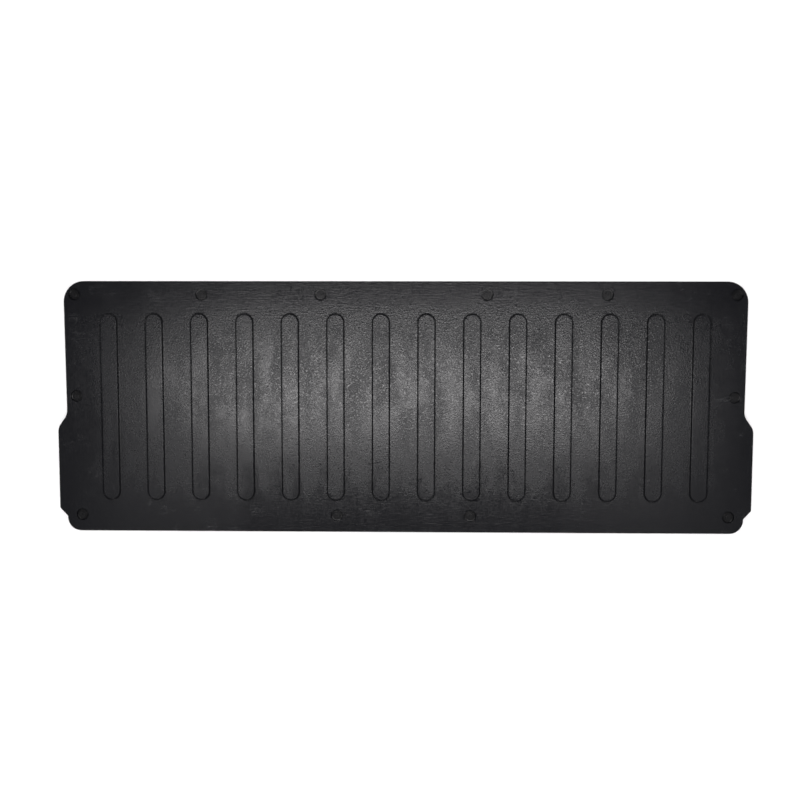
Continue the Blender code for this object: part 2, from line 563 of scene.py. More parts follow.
class PebbledGrain(ShaderGroup):
    """The skin of moulded rubber: small soft pebbles, coarser in some places, under a finer tooth."""

    name = "pebbled_grain"
    inputs = (
        ("Place", SocketType.VECTOR, 0.0),
        ("Pebble Depth", SocketType.VALUE, 0.00010),
        ("Tooth Depth", SocketType.VALUE, 0.00001),
    )
    outputs = (("Height", SocketType.VALUE), ("Polish", SocketType.VALUE))

    def draw(self, wiring: Wiring, given: bpy.types.NodeOutputs, result: bpy.types.NodeInputs) -> None:
        """Pebbles from warped cells, uneven from place to place, polished on their crests.

        Args:
            wiring: The group's wiring.
            given: Its inputs.
            result: Its outputs.
        """
        place = given["Place"]
        warp = wiring.add("ShaderNodeTexNoise")
        warp.inputs["Scale"].default_value = 210
        wiring.join(place, warp.inputs["Vector"])
        shift = wiring.add("ShaderNodeVectorMath", operation="MULTIPLY_ADD")
        wiring.join(warp.outputs["Color"], shift.inputs[0])
        shift.inputs[1].default_value = (0.0035, 0.0035, 0.0035)
        wiring.join(place, shift.inputs[2])
        cells = wiring.add("ShaderNodeTexVoronoi", feature="SMOOTH_F1")
        cells.inputs["Scale"].default_value = 300
        cells.inputs["Smoothness"].default_value = 0.5
        wiring.join(shift.outputs[0], cells.inputs["Vector"])
        crests = wiring.ramp(cells.outputs["Distance"], 0.10, 0.62, 1.0, 0.0)
        lumps = wiring.noise(place, 190, 3, 0.6)
        uneven = wiring.noise(wiring.stretch(place, (19, 11, 1)), 1.0, 2, 0.5)
        coarse = wiring.ramp(uneven, 0.34, 0.68, 0.88, 1.2)
        parts = wiring.add("ShaderNodeSeparateXYZ")
        wiring.join(place, parts.inputs[0])
        for axis, low, high, start, end in (
            (0, -0.60, 0.0, 0.5, 1.0),
            (0, 0.50, 0.70, 1.0, 0.5),
            (1, -0.18, 0.16, 0.35, 1.0),
            (1, 0.19, 0.25, 1.0, 0.4),
        ):
            coarse = wiring.math("MULTIPLY", coarse, wiring.ramp(parts.outputs[axis], low, high, start, end))
        pebbles = wiring.math("MULTIPLY_ADD", crests, 0.8, lumps)
        tooth = wiring.noise(place, 700, 2, 0.6)
        low = wiring.math("MULTIPLY", pebbles, wiring.math("MULTIPLY", coarse, given["Pebble Depth"]))
        wiring.join(wiring.math("MULTIPLY_ADD", tooth, given["Tooth Depth"], low), result["Height"])
        specks = wiring.ramp(wiring.noise(place, 420, 2, 0.6), 0.30, 0.72)
        shine = wiring.math("MULTIPLY_ADD", crests, 0.5, wiring.math("MULTIPLY", specks, 0.5))
        glints = wiring.ramp(wiring.noise(place, 270, 1, 0.5), 0.58, 0.70)
        shine = wiring.math("MULTIPLY_ADD", glints, 0.8, wiring.math("SUBTRACT", shine, 0.45))
        wiring.join(wiring.math("MULTIPLY", shine, coarse), result["Polish"])


class FlowMarks(ShaderGroup):
    """Marks that the rubber keeps from the press: long ripples near the edges and broad dull areas."""

    name = "flow_marks"
    inputs = (("Place", SocketType.VECTOR, 0.0), ("Ripple Depth", SocketType.VALUE, 0.00015))
    outputs = (("Height", SocketType.VALUE), ("Dullness", SocketType.VALUE))

    def draw(self, wiring: Wiring, given: bpy.types.NodeOutputs, result: bpy.types.NodeInputs) -> None:
        """Ripples along X that fade away from the long edges; dull clouds, fewer in the border.

        Args:
            wiring: The group's wiring.
            given: Its inputs.
            result: Its outputs.
        """
        place = given["Place"]
        parts = wiring.add("ShaderNodeSeparateXYZ")
        wiring.join(place, parts.inputs[0])
        along = wiring.ramp(wiring.math("ABSOLUTE", parts.outputs[1]), 0.150, 0.240, 0.35, 1.0)
        side = wiring.ramp(wiring.math("ABSOLUTE", parts.outputs[0]), 0.660, 0.740)
        border = wiring.math("MAXIMUM", wiring.ramp(along, 0.35, 1.0), side)
        ripple = wiring.noise(wiring.stretch(place, (45, 360, 1)), 1.0, 2, 0.6)
        depth = wiring.math("MULTIPLY", along, given["Ripple Depth"])
        wiring.join(wiring.math("MULTIPLY", ripple, depth), result["Height"])
        broad = wiring.noise(wiring.stretch(place, (22, 5, 1)), 1.0, 3, 0.5)
        cloudy = wiring.noise(place, 38, 4, 0.6)
        both = wiring.math("MULTIPLY_ADD", cloudy, 0.3, wiring.math("MULTIPLY", broad, 0.7))
        pressed = wiring.math("MULTIPLY_ADD", border, -0.7, 1.0)
        wiring.join(wiring.math("MULTIPLY", wiring.ramp(both, 0.32, 0.68), pressed), result["Dullness"])


class ScuffsAndPits(ShaderGroup):
    """Short fine scratches and scattered pits, as masks."""

    name = "scuffs_and_pits"
    inputs = (("Place", SocketType.VECTOR, 0.0), ("Amount", SocketType.VALUE, 1.0))
    outputs = (("Scratches", SocketType.VALUE), ("Pits", SocketType.VALUE))

    def draw(self, wiring: Wiring, given: bpy.types.NodeOutputs, result: bpy.types.NodeInputs) -> None:
        """Thin lines from two stretched noises, broken up; pits from sparse cells.

        Args:
            wiring: The group's wiring.
            given: Its inputs.
            result: Its outputs.
        """
        place = given["Place"]
        total: bpy.types.NodeSocket | None = None
        for turn, along in ((8.0, 9.0), (97.0, 12.0), (-38.0, 10.0)):
            lines = wiring.noise(wiring.stretch(place, (along, 420, 1), turn), 1.0, 2, 0.5)
            off_line = wiring.math("ABSOLUTE", wiring.math("SUBTRACT", lines, 0.5))
            thin = wiring.ramp(off_line, 0.0, 0.006, 1.0, 0.0)
            here = wiring.ramp(wiring.noise(wiring.stretch(place, (16, 16, 1), turn * 3), 1.0, 2), 0.62, 0.72)
            mark = wiring.math("MULTIPLY", thin, here)
            total = mark if total is None else wiring.math("MAXIMUM", total, mark)
        wiring.join(wiring.math("MULTIPLY", total, given["Amount"]), result["Scratches"])
        cells = wiring.add("ShaderNodeTexVoronoi")
        cells.inputs["Scale"].default_value = 95
        wiring.join(place, cells.inputs["Vector"])
        dots = wiring.ramp(cells.outputs["Distance"], 0.06, 0.14, 1.0, 0.0)
        sparse = wiring.ramp(wiring.noise(place, 24, 2), 0.58, 0.68)
        pits = wiring.math("MULTIPLY", dots, sparse)
        wiring.join(wiring.math("MULTIPLY", pits, given["Amount"]), result["Pits"])


class HandledEdges(ShaderGroup):
    """Where hands and cargo rub: a mask from the mesh's own edge attribute, broken up by noise."""

    name = "handled_edges"
    inputs = (
        ("Place", SocketType.VECTOR, 0.0),
        ("Edge", SocketType.VALUE, 0.0),
        ("Spread", SocketType.VALUE, 0.5),
    )
    outputs = (("Mask", SocketType.VALUE),)

    def draw(self, wiring: Wiring, given: bpy.types.NodeOutputs, result: bpy.types.NodeInputs) -> None:
        """The edge value worn away where the noise is high.

        Args:
            wiring: The group's wiring.
            given: Its inputs.
            result: Its outputs.
        """
        broken = wiring.noise(given["Place"], 130, 4, 0.65)
        around_zero = wiring.math("SUBTRACT", broken, 0.5)
        level = wiring.math("MULTIPLY_ADD", given["Edge"], given["Spread"], around_zero)
        masked = wiring.math("MULTIPLY", wiring.ramp(level, 0.15, 0.55), given["Edge"])
        wiring.join(masked, result["Mask"])


@dataclass
class GroupLibrary:
    """The node groups that the finishes share, each built once.

    Attributes:
        grain: Pebbled grain and fine tooth.
        flow: Flow marks and dull bloom.
        scuffs: Scratches and pits.
        edges: Wear on exposed edges.
    """

    grain: PebbledGrain = field(default_factory=PebbledGrain)
    flow: FlowMarks = field(default_factory=FlowMarks)
    scuffs: ScuffsAndPits = field(default_factory=ScuffsAndPits)
    edges: HandledEdges = field(default_factory=HandledEdges)


def start_material(name: str) -> tuple[bpy.types.Material, Wiring, bpy.types.Node, bpy.types.NodeSocket]:
    """A new node material.

    Args:
        name: The material's name.

    Returns:
        The material, its wiring, its Principled node and the piece's own coordinates.
    """
    material = bpy.data.materials.new(name)
    material.use_nodes = True
    wiring = Wiring(material.node_tree)
    shader = material.node_tree.nodes["Principled BSDF"]
    own = wiring.add("ShaderNodeTexCoord").outputs["Object"]
    return material, wiring, shader, own


def add_bump(wiring: Wiring, shader: bpy.types.Node, height: bpy.types.NodeSocket) -> None:
    """Feed a height in metres through a Bump node to the shader's normal.

    Args:
        wiring: The material's wiring.
        shader: Its shader node.
        height: The height in metres.
    """
    bump = wiring.add("ShaderNodeBump")
    bump.inputs["Strength"].default_value = 1.0
    bump.inputs["Distance"].default_value = 1.0
    wiring.join(height, bump.inputs["Height"])
    wiring.join(bump.outputs[0], shader.inputs["Normal"])


def mesh_value(wiring: Wiring, name: str) -> bpy.types.NodeSocket:
    """A value that the mesh itself carries, such as its edge attribute."""
    return wiring.add("ShaderNodeAttribute", attribute_name=name).outputs["Fac"]


@dataclass(frozen=True)
class RubberFinish:
    """Black moulded rubber with a pebbled skin.

    Attributes:
        dark: Base colour of the rubber where it has no bloom or dust.
        grey: Base colour where it is bloomed or dusty.
        painted_wall_shade: Painted shade: darker base colour on the rib and seat walls, for their dark lines.
        glossy: Roughness of the smoothest areas.
        dull: Roughness of the dullest areas.
    """

    dark: Colour = (0.0036, 0.0037, 0.0047)
    grey: Colour = (0.0055, 0.0057, 0.0070)
    # Painted shade: the walls' darker base colour stands in for the shade that outlines ribs and seats.
    painted_wall_shade: Colour = (0.0018, 0.0018, 0.0020)
    glossy: float = 0.190
    dull: float = 0.315

    def material(self, groups: GroupLibrary) -> bpy.types.Material:
        """Wire the rubber: grain, flow marks, scuffs, worn edges and painted shade on the walls.

        Args:
            groups: The shared shader groups.

        Returns:
            The finished material.
        """
        material, wiring, shader, own = start_material("Moulded rubber")
        grain = wiring.group(groups.grain, place=own, pebble_depth=0.00014, tooth_depth=0.00002)
        flow = wiring.group(groups.flow, place=own, ripple_depth=0.00018)
        marks = wiring.group(groups.scuffs, place=own, amount=1.0)
        worn = wiring.group(groups.edges, place=own, edge=mesh_value(wiring, "edge"), spread=0.7)
        wall = mesh_value(wiring, "wall")
        calm = wiring.math("SUBTRACT", 1.0, wall)
        bloom = wiring.math("MULTIPLY", flow.outputs["Dullness"], 0.7)
        colour = wiring.tint(bloom, self.dark, self.grey)
        colour = wiring.tint(marks.outputs["Scratches"], colour, (0.035, 0.035, 0.037))
        # Painted shade: the wall mask pulls the base colour towards the dark wall colour.
        colour = wiring.tint(wiring.math("MULTIPLY", wall, 0.6), colour, self.painted_wall_shade)
        wiring.join(colour, shader.inputs["Base Color"])
        rough = wiring.ramp(flow.outputs["Dullness"], 0.0, 1.0, self.glossy, self.dull)
        polish = wiring.math("MULTIPLY", grain.outputs["Polish"], calm)
        rough = wiring.math("MULTIPLY_ADD", polish, -0.33, rough)
        rough = wiring.math("MULTIPLY_ADD", worn.outputs["Mask"], -0.05, rough)
        wiring.join(rough, shader.inputs["Roughness"])
        shader.inputs["IOR"].default_value = 1.5
        height = wiring.math("ADD", grain.outputs["Height"], flow.outputs["Height"])
        height = wiring.math("MULTIPLY_ADD", marks.outputs["Pits"], -0.00025, height)
        height = wiring.math("MULTIPLY_ADD", marks.outputs["Scratches"], -0.00008, height)
        height = wiring.math("MULTIPLY", height, calm)
        add_bump(wiring, shader, height)
        return material


@dataclass(frozen=True)
class BlackMetalFinish:
    """Blackened steel: a dark coating that thins to bare metal on its edges.

    Attributes:
        name: The material's name.
        coating: Colour of the coating.
        bare: Colour of the steel where it is rubbed through.
        roughness: Roughness of the coating.
        metallic: Metallic value of the coating.
        tooth: Depth of the coating's fine grain, in metres.
    """

    name: str
    coating: tuple[float, float, float]
    bare: tuple[float, float, float]
    roughness: float
    metallic: float
    tooth: float

    def material(self, groups: GroupLibrary) -> bpy.types.Material:
        """Wire the blackened metal: coating, worn edges and fine tooth.

        Args:
            groups: The shared shader groups.

        Returns:
            The finished material.
        """
        material, wiring, shader, own = start_material(self.name)
        grain = wiring.group(groups.grain, place=own, pebble_depth=self.tooth, tooth_depth=self.tooth)
        worn = wiring.group(groups.edges, place=own, edge=mesh_value(wiring, "edge"), spread=0.55)
        cloudy = wiring.noise(own, 600, 3, 0.6)
        lighter = tuple(1.5 * part for part in self.coating)
        coating = wiring.tint(wiring.ramp(cloudy, 0.35, 0.7), self.coating, lighter)
        wiring.join(wiring.tint(worn.outputs["Mask"], coating, self.bare), shader.inputs["Base Color"])
        metal = wiring.ramp(worn.outputs["Mask"], 0.0, 1.0, self.metallic, 1.0)
        wiring.join(metal, shader.inputs["Metallic"])
        rough = wiring.ramp(cloudy, 0.3, 0.75, self.roughness - 0.02, self.roughness + 0.03)
        wiring.join(rough, shader.inputs["Roughness"])
        add_bump(wiring, shader, grain.outputs["Height"])
        return material


ZINC_FINISH = BlackMetalFinish(
    "Black zinc plate", (0.006, 0.006, 0.0066), (0.045, 0.045, 0.045), 0.21, 0.2, 0.000004
)
PHOSPHATE_FINISH = BlackMetalFinish(
    "Black phosphate", (0.005, 0.005, 0.0055), (0.04, 0.04, 0.04), 0.22, 0.15, 0.000006
)


# ---------------------------------------------------------------------------------------------
# The mat


@dataclass
class RibbedMat:
    """The rubber moulding: sheet, raised ribs, rounded edges and screw seats, as one closed mesh.

    Attributes:
        half_depth: Half of the mat's size along Y.
        upper_half_width: Half width at the upper corners.
        waist_half_width: Half width just above the shoulders.
        tab_half_width: Half width across the side tabs.
        lower_half_width: Half width below the tabs.
        sheet: Thickness of the sheet between the ribs.
        rib_height: How far a rib stands above the sheet.
        rib_line_width: Rib width at the middle of its wall.
        rib_line_length: Rib length at the middle of its wall.
        rib_curve: Radius of the hollow at a rib's foot and of the round on its top edge.
        rib_slope: Angle of a rib's wall from the sheet, in degrees.
        shoulder_top: The y where each side starts to widen into its tab.
        shoulder_foot: The y where the tab is at its full width.
        tab_foot: The y where the tab ends.
        notch: The y where the side is back to its lower width.
        upper_corner: Radius of the upper corners.
        shoulder_round: Radius of the shoulders' corners.
        tab_round: Radius of the corners at the tab's foot.
        lower_corner: Radius of the lower corners.
        edge_round: Radius of the round on the sheet's upper edge.
        rib_count: Number of ribs.
        rib_pitch: Distance from one rib's centre line to the next.
        seat_mouth: Radius of a seat at the sheet's surface.
        seat_floor: Radius of a seat's floor.
        seat_floor_z: Height of the floor above the underside.
        seat_hole: Radius of the screw's hole.
        seats: The (x, y) of every seat.
        relief: Depth of the slow unevenness of the upper surface.
        grid_step: Distance between the extra points over a flat.
        run_step: Longest step along a straight edge.
        builder: Gathers the points and faces.
    """

    half_depth: float = 0.2820
    upper_half_width: float = 0.7610
    waist_half_width: float = 0.7590
    tab_half_width: float = 0.7800
    lower_half_width: float = 0.7625
    shoulder_top: float = -0.0170
    shoulder_foot: float = -0.0465
    tab_foot: float = -0.2300
    notch: float = -0.2490
    upper_corner: float = 0.0465
    shoulder_round: float = 0.030
    tab_round: float = 0.006
    lower_corner: float = 0.030
    sheet: float = 0.00635
    edge_round: float = 0.0015
    rib_count: int = 14
    rib_pitch: float = 0.1016
    rib_height: float = 0.0032
    rib_line_width: float = 0.0381
    rib_line_length: float = 0.4191
    rib_curve: float = 0.00035
    rib_slope: float = 45.0
    seat_mouth: float = 0.0133
    seat_floor: float = 0.0118
    seat_floor_z: float = 0.0016
    seat_hole: float = 0.0028
    seats: tuple[tuple[float, float], ...] = ()
    relief: float = 0.00025
    grid_step: float = 0.011
    run_step: float = 0.012
    builder: SurfaceBuilder = field(default_factory=SurfaceBuilder)

    def outline(self) -> Outline:
        """The mat's plan outline, from the right side's corners and their mirror images.

        Returns:
            The closed outline.
        """
        right = [
            (self.upper_half_width, self.half_depth, self.upper_corner),
            (self.waist_half_width, self.shoulder_top, self.shoulder_round),
            (self.tab_half_width, self.shoulder_foot, self.shoulder_round),
            (self.tab_half_width, self.tab_foot, self.tab_round),
            (self.lower_half_width, self.notch, self.tab_round),
            (self.lower_half_width, -self.half_depth, self.lower_corner),
        ]
        left = [(-x, y, radius) for x, y, radius in reversed(right)]
        return Outline.from_corners(right + left, math.radians(5), self.run_step)

    def rib_profile(self) -> list[tuple[float, float]]:
        """(inset, height above the sheet) points up a rib's drafted wall, with a small round at each end."""
        slope = math.radians(self.rib_slope)
        radius = self.rib_curve
        run = (self.rib_height - 2 * radius * (1 - math.cos(slope))) / math.tan(slope)
        half_run = run / 2 + radius * math.sin(slope)
        arms = [slope * step / 4 for step in range(5)]
        foot = [(-half_run + radius * math.sin(arm), radius * (1 - math.cos(arm))) for arm in arms]
        top = [(-inset, self.rib_height - height) for inset, height in reversed(foot)]
        return [(-half_run - 0.0016, 0.0), *foot, *top, (half_run + 0.0016, self.rib_height)]

    def rib_centres(self) -> list[float]:
        """The x of each rib's centre line."""
        return [(index - (self.rib_count - 1) / 2) * self.rib_pitch for index in range(self.rib_count)]

    def seat_profile(self) -> list[tuple[float, float]]:
        """(radius, z) points from the sheet's surface down a seat's wall to the hole's lower end."""
        lip = arc_profile((self.seat_mouth + 0.0002, self.sheet), 0.0003, 90, 165, 4)
        foot_z = self.seat_floor_z
        foot = arc_profile((self.seat_floor + 0.0002, foot_z + 0.0006), 0.0006, 0, -80, 3)
        rim = self.seat_hole
        return [
            (self.seat_mouth + 0.0011, self.sheet),
            *lip,
            *foot,
            (foot[-1][0] - 0.0008, foot_z),
            (rim + 0.0012, foot_z),
            (rim + 0.0004, foot_z),
            (rim, foot_z - 0.0004),
            (rim, 0.0004),
            (rim + 0.0003, 0.0),
        ]

    def build_edge(self, outline: Outline) -> tuple[Ring, Ring]:
        """The outer edge from the underside up to the sheet; returns its lowest and highest rings.

        Args:
            outline: The mat's plan outline.

        Returns:
            The lowest ring and the highest.
        """
        low = 0.0006
        radius = self.edge_round
        profile = [(low, 0.0), (low * 0.3, low * 0.3), (0.0, low)]
        for step in range(6):
            angle = math.radians(90 * step / 5)
            profile.append((radius * (1 - math.cos(angle)), self.sheet - radius * (1 - math.sin(angle))))
        profile.append((radius + 0.0006, self.sheet))
        rings = [self.builder.ring(outline.inset(inset), z) for inset, z in profile]
        self.builder.bands(rings)
        return rings[0], rings[-1]

    def build_rib(self, centre: float) -> Ring:
        """One rib, with extra points over its flat top.

        Args:
            centre: The x of its centre line.

        Returns:
            The foot ring.
        """
        rib = Outline.obround(self.rib_line_width, self.rib_line_length, 26, self.run_step)
        offset = np.array([centre, 0.0])
        rings = [
            self.builder.ring(rib.inset(inset) + offset, self.sheet + rise)
            for inset, rise in self.rib_profile()
        ]
        self.builder.bands(rings)
        half = self.rib_line_width / 2 - 0.009
        reach = self.rib_line_length / 2 - 0.014
        xs = centre + np.linspace(-half, half, 3)
        ys = np.linspace(-reach, reach, int(2 * reach / self.grid_step) + 1)
        grid = np.array([(x, y) for x in xs for y in ys])
        self.builder.fill([rings[-1]], grid, self.sheet + self.rib_height)
        return rings[0]

    def build_seat(self, x: float, y: float) -> tuple[Ring, Ring]:
        """One screw seat; returns its outer ring on the sheet and its ring on the underside.

        Args:
            x: The seat's x.
            y: The seat's y.

        Returns:
            The outer ring and the ring on the underside.
        """
        circle = Outline.circle(48)
        offset = np.array([x, y])
        rings = [self.builder.ring(circle.inset(-radius) + offset, z) for radius, z in self.seat_profile()]
        self.builder.bands(rings)
        return rings[0], rings[-1]

    def sheet_grid(self, outline: Outline) -> np.ndarray:
        """Extra points over the sheet that keep clear of its edge, ribs and seats.

        Args:
            outline: The mat's plan outline.

        Returns:
            The points that keep clear.
        """
        xs = np.arange(-self.tab_half_width, self.tab_half_width, self.grid_step)
        ys = np.arange(-self.half_depth, self.half_depth, self.grid_step)
        grid = np.array([(x, y) for x in xs for y in ys])
        half = self.rib_line_length / 2 - self.rib_line_width / 2
        clear = np.ones(len(grid), bool)
        for centre in self.rib_centres():
            beyond = np.maximum(np.abs(grid[:, 1]) - half, 0)
            clear &= np.hypot(grid[:, 0] - centre, beyond) > self.rib_line_width / 2 + 0.009
        for x, y in self.seats:
            clear &= np.hypot(grid[:, 0] - x, grid[:, 1] - y) > self.seat_mouth + 0.007
        rim = outline.inset(0.009)
        numbers = np.arange(len(rim))
        edges = np.stack([numbers, np.roll(numbers, -1)], axis=1)
        clear &= SurfaceBuilder.inside(grid, rim, edges)
        return grid[clear]

    def settle(self, mesh: bpy.types.Mesh) -> None:
        """Sink the upper surface by a slow, shallow unevenness, none at the underside.

        Args:
            mesh: The moulding's mesh.
        """
        places = np.empty(len(mesh.vertices) * 3)
        mesh.vertices.foreach_get("co", places)
        places = places.reshape(-1, 3)
        for index, (x, y, z) in enumerate(places):
            slow = noise.noise(Vector((x * 16, y * 7, 0.3)))
            quick = noise.noise(Vector((x * 45, y * 32, 4.1)))
            sink = self.relief * (0.5 + 0.5 * (0.65 * slow + 0.35 * quick))
            places[index, 2] = z - sink * min(1.0, z / self.sheet)
        mesh.vertices.foreach_set("co", places.ravel())
        mesh.update()

    def mark_edges(self, mesh: bpy.types.Mesh) -> None:
        """Store how exposed each point is, 1 on a rib's upper round, and whether it is on a wall, the mask of
        the painted wall shade.

        Args:
            mesh: The moulding's mesh.
        """
        places = np.empty(len(mesh.vertices) * 3)
        mesh.vertices.foreach_get("co", places)
        rise = np.clip((places.reshape(-1, 3)[:, 2] - self.sheet) / self.rib_height, 0, 1)
        tilt = np.array([1 - abs(vertex.normal.z) for vertex in mesh.vertices])
        # The wall value also masks the rubber's painted shade on the rib and seat walls.
        for name, values in (("edge", rise * np.clip(tilt * 6, 0, 1)), ("wall", np.clip(tilt * 5, 0, 1))):
            attribute = mesh.attributes.new(name, "FLOAT", "POINT")
            attribute.data.foreach_set("value", values.astype(np.float32))

    def build(self, groups: GroupLibrary) -> bpy.types.Object:
        """Build the moulding, finish it and put it in place of the CAD node.

        Args:
            groups: The shared shader groups.

        Returns:
            The piece.
        """
        outline = self.outline()
        base_ring, rim = self.build_edge(outline)
        feet = [self.build_rib(centre) for centre in self.rib_centres()]
        seat_rings = [self.build_seat(x, y) for x, y in self.seats]
        mouths = [ring for ring, _ in seat_rings]
        holes = [ring for _, ring in seat_rings]
        self.builder.fill([rim, *feet, *mouths], self.sheet_grid(outline), self.sheet)
        self.builder.fill([base_ring, *holes], np.empty((0, 2)), 0.0, facing_up=False)
        mesh = self.builder.mesh("ribbed_mat")
        self.settle(mesh)
        self.mark_edges(mesh)
        mesh.materials.append(RubberFinish().material(groups))
        LOG.info("mat: %d ribs, %d seats, %d faces", self.rib_count, len(self.seats), len(mesh.polygons))
        return place("ribbed_mat", mesh, "mat", Slot.RUBBER)


# ---------------------------------------------------------------------------------------------
# Fasteners


@dataclass
class SeatWasher:
    """A punched flat washer with a rolled upper edge and a burr-rounded lower one.

    Attributes:
        radius: Outer radius.
        hole: Hole radius.
        thickness: Thickness.
        roll: Radius of the rolled edges.
        land: Width of the flat strips beside the rolled edges, which keep the face's shading flat.
    """

    radius: float = 0.0095
    hole: float = 0.0027
    thickness: float = 0.0012
    roll: float = 0.00012
    land: float = 0.0003

    def mesh(self) -> bpy.types.Mesh:
        """The washer, its underside at z = 0."""
        top, roll = self.thickness, self.roll
        outer = arc_profile((self.radius - roll, top), roll, 90, 0, 4)
        lower = arc_profile((self.radius, roll / 2), roll / 2, 0, -90, 3)
        bore = [(self.hole + 0.0002, 0.0), (self.hole, 0.0002), (self.hole, top - roll)]
        mouth = arc_profile((self.hole, top - roll), roll, 180, 90, 3)[1:]
        inner_land = (self.hole + roll + self.land, top)
        outer_land = (self.radius - roll - self.land, top)
        profile = [inner_land, outer_land, *outer, *lower, *bore, *mouth, inner_land]
        mesh = turned("seat_washer", profile, 72)
        self._mark(mesh)
        return mesh

    def _mark(self, mesh: bpy.types.Mesh) -> None:
        """Store which points are on the rolled edges.

        Args:
            mesh: The washer's mesh.
        """
        attribute = mesh.attributes.new("edge", "FLOAT", "POINT")
        rolled = self.radius - self.roll * 0.7
        values = [1.0 if math.hypot(v.co.x, v.co.y) > rolled else 0.0 for v in mesh.vertices]
        attribute.data.foreach_set("value", values)


@dataclass
class LowHeadScrew:
    """A number 10 low-head sheet screw: flat-topped head, cross recess, rolled thread and sharp point.

    Attributes:
        head_radius: Radius of the head.
        head_top_radius: Radius of the head's flat top.
        head_height: Height of the head.
        head_rim: Height of the head's straight rim.
        crest: Radius of the thread's crests.
        root: Radius of the thread's roots.
        length: Length below the head.
        point: Length of the point.
        point_radius: Radius of the point's tip.
        pitch: Distance from one crest to the next.
        drive_span: Length across the cross recess.
        drive_width: Width of each arm of the recess.
        drive_depth: Depth of the recess.
        facets: Facets round the axis.
    """

    head_radius: float = 0.0055
    head_top_radius: float = 0.0052
    head_height: float = 0.0021
    head_rim: float = 0.0018
    crest: float = 0.0024
    root: float = 0.00175
    length: float = 0.0127
    point: float = 0.0042
    point_radius: float = 0.0003
    pitch: float = 0.00159
    drive_span: float = 0.0052
    drive_width: float = 0.0010
    drive_depth: float = 0.0014
    facets: int = 40

    def thread_radius(self, depth: float, angle: float) -> float:
        """The shank's radius at a depth under the head and an angle round it.

        Args:
            depth: Depth under the head.
            angle: Angle round the shank, in radians.

        Returns:
            The radius.
        """
        to_point = min(1.0, (self.length - depth) / self.point)
        limit = self.point_radius + (self.crest - self.point_radius) * to_point
        under_head = min(1.0, depth / 0.0012)
        turn = (depth / self.pitch - angle / math.tau) % 1.0
        ridge = max(0.0, 1.0 - abs(turn - 0.5) / 0.32) ** 1.3 * under_head
        core = limit - (self.crest - self.root) * min(1.0, to_point * 1.5)
        return max(self.point_radius * 0.5, core + (limit - core) * ridge)

    def blank(self) -> bpy.types.Mesh:
        """The screw before its recess is cut; z = 0 is under the head."""
        builder = SurfaceBuilder()
        circle = Outline.circle(self.facets)
        edge_width = self.head_radius - self.head_top_radius
        edge_height = self.head_height - self.head_rim
        profile = [(self.crest + 0.0003, 0.0), (self.head_radius - 0.0002, 0.0), (self.head_radius, 0.0002)]
        for step in range(9):
            angle = math.radians(90 * step / 8)
            radius = self.head_top_radius + edge_width * math.cos(angle)
            profile.append((radius, self.head_rim + edge_height * math.sin(angle)))
        profile.append((self.head_top_radius - 0.0006, self.head_height))
        head = [builder.ring(circle.inset(-radius), z) for radius, z in profile]
        turns = np.arange(self.facets) * math.tau / self.facets
        rings = []
        steps = 96
        for step in range(steps + 1):
            depth = self.length * step / steps
            radii = np.array([self.thread_radius(depth, turn) for turn in turns])
            rings.append(builder.ring(circle.normals * radii[:, None], -depth))
        builder.bands([*reversed(rings), *head])
        builder.faces.append(tuple(head[-1]))
        builder.faces.append(tuple(reversed(rings[-1])))
        return builder.mesh("screw_blank", 50)

    def mesh(self) -> bpy.types.Mesh:
        """The finished screw, its cross recess cut by two tapered blades."""
        blank = bpy.data.objects.new("screw_blank", self.blank())
        bpy.context.scene.collection.objects.link(blank)
        cutters = []
        for turn in (0.0, math.pi / 2):
            blade = bmesh.new()
            bmesh.ops.create_cube(blade, size=1)
            for vertex in blade.verts:
                lower = vertex.co.z < 0
                vertex.co.x *= self.drive_span * (0.42 if lower else 1.12)
                vertex.co.y *= self.drive_width * (0.7 if lower else 1.0)
                vertex.co.z = self.head_height + (-self.drive_depth if lower else self.drive_depth * 0.5)
            bmesh.ops.rotate(blade, verts=blade.verts, matrix=Matrix.Rotation(turn, 3, "Z"))
            mesh = bpy.data.meshes.new("drive_blade")
            blade.to_mesh(mesh)
            blade.free()
            cutter = bpy.data.objects.new("drive_blade", mesh)
            bpy.context.scene.collection.objects.link(cutter)
            cut = blank.modifiers.new("Recess", "BOOLEAN")
            cut.object = cutter
            cut.operation = "DIFFERENCE"
            cutters.append(cutter)
        bpy.context.view_layer.update()
        cut_blank = blank.evaluated_get(bpy.context.evaluated_depsgraph_get())
        finished = bpy.data.meshes.new_from_object(cut_blank)
        for helper in (*cutters, blank):
            bpy.data.objects.remove(helper)
        finished.name = "low_head_screw"
        self._mark(finished)
        return finished

    def _mark(self, mesh: bpy.types.Mesh) -> None:
        """Store which points are on the head's rim and at the recess's edge.

        Args:
            mesh: The screw's mesh.
        """
        attribute = mesh.attributes.new("edge", "FLOAT", "POINT")
        values = []
        for vertex in mesh.vertices:
            reach = math.hypot(vertex.co.x, vertex.co.y)
            on_rim = reach > self.head_radius * 0.93 and vertex.co.z > 0.0001
            at_recess = vertex.co.z > self.head_height * 0.72 and reach < self.drive_span * 0.55
            values.append(0.8 if on_rim else 0.3 if at_recess else 0.0)
        attribute.data.foreach_set("value", values)


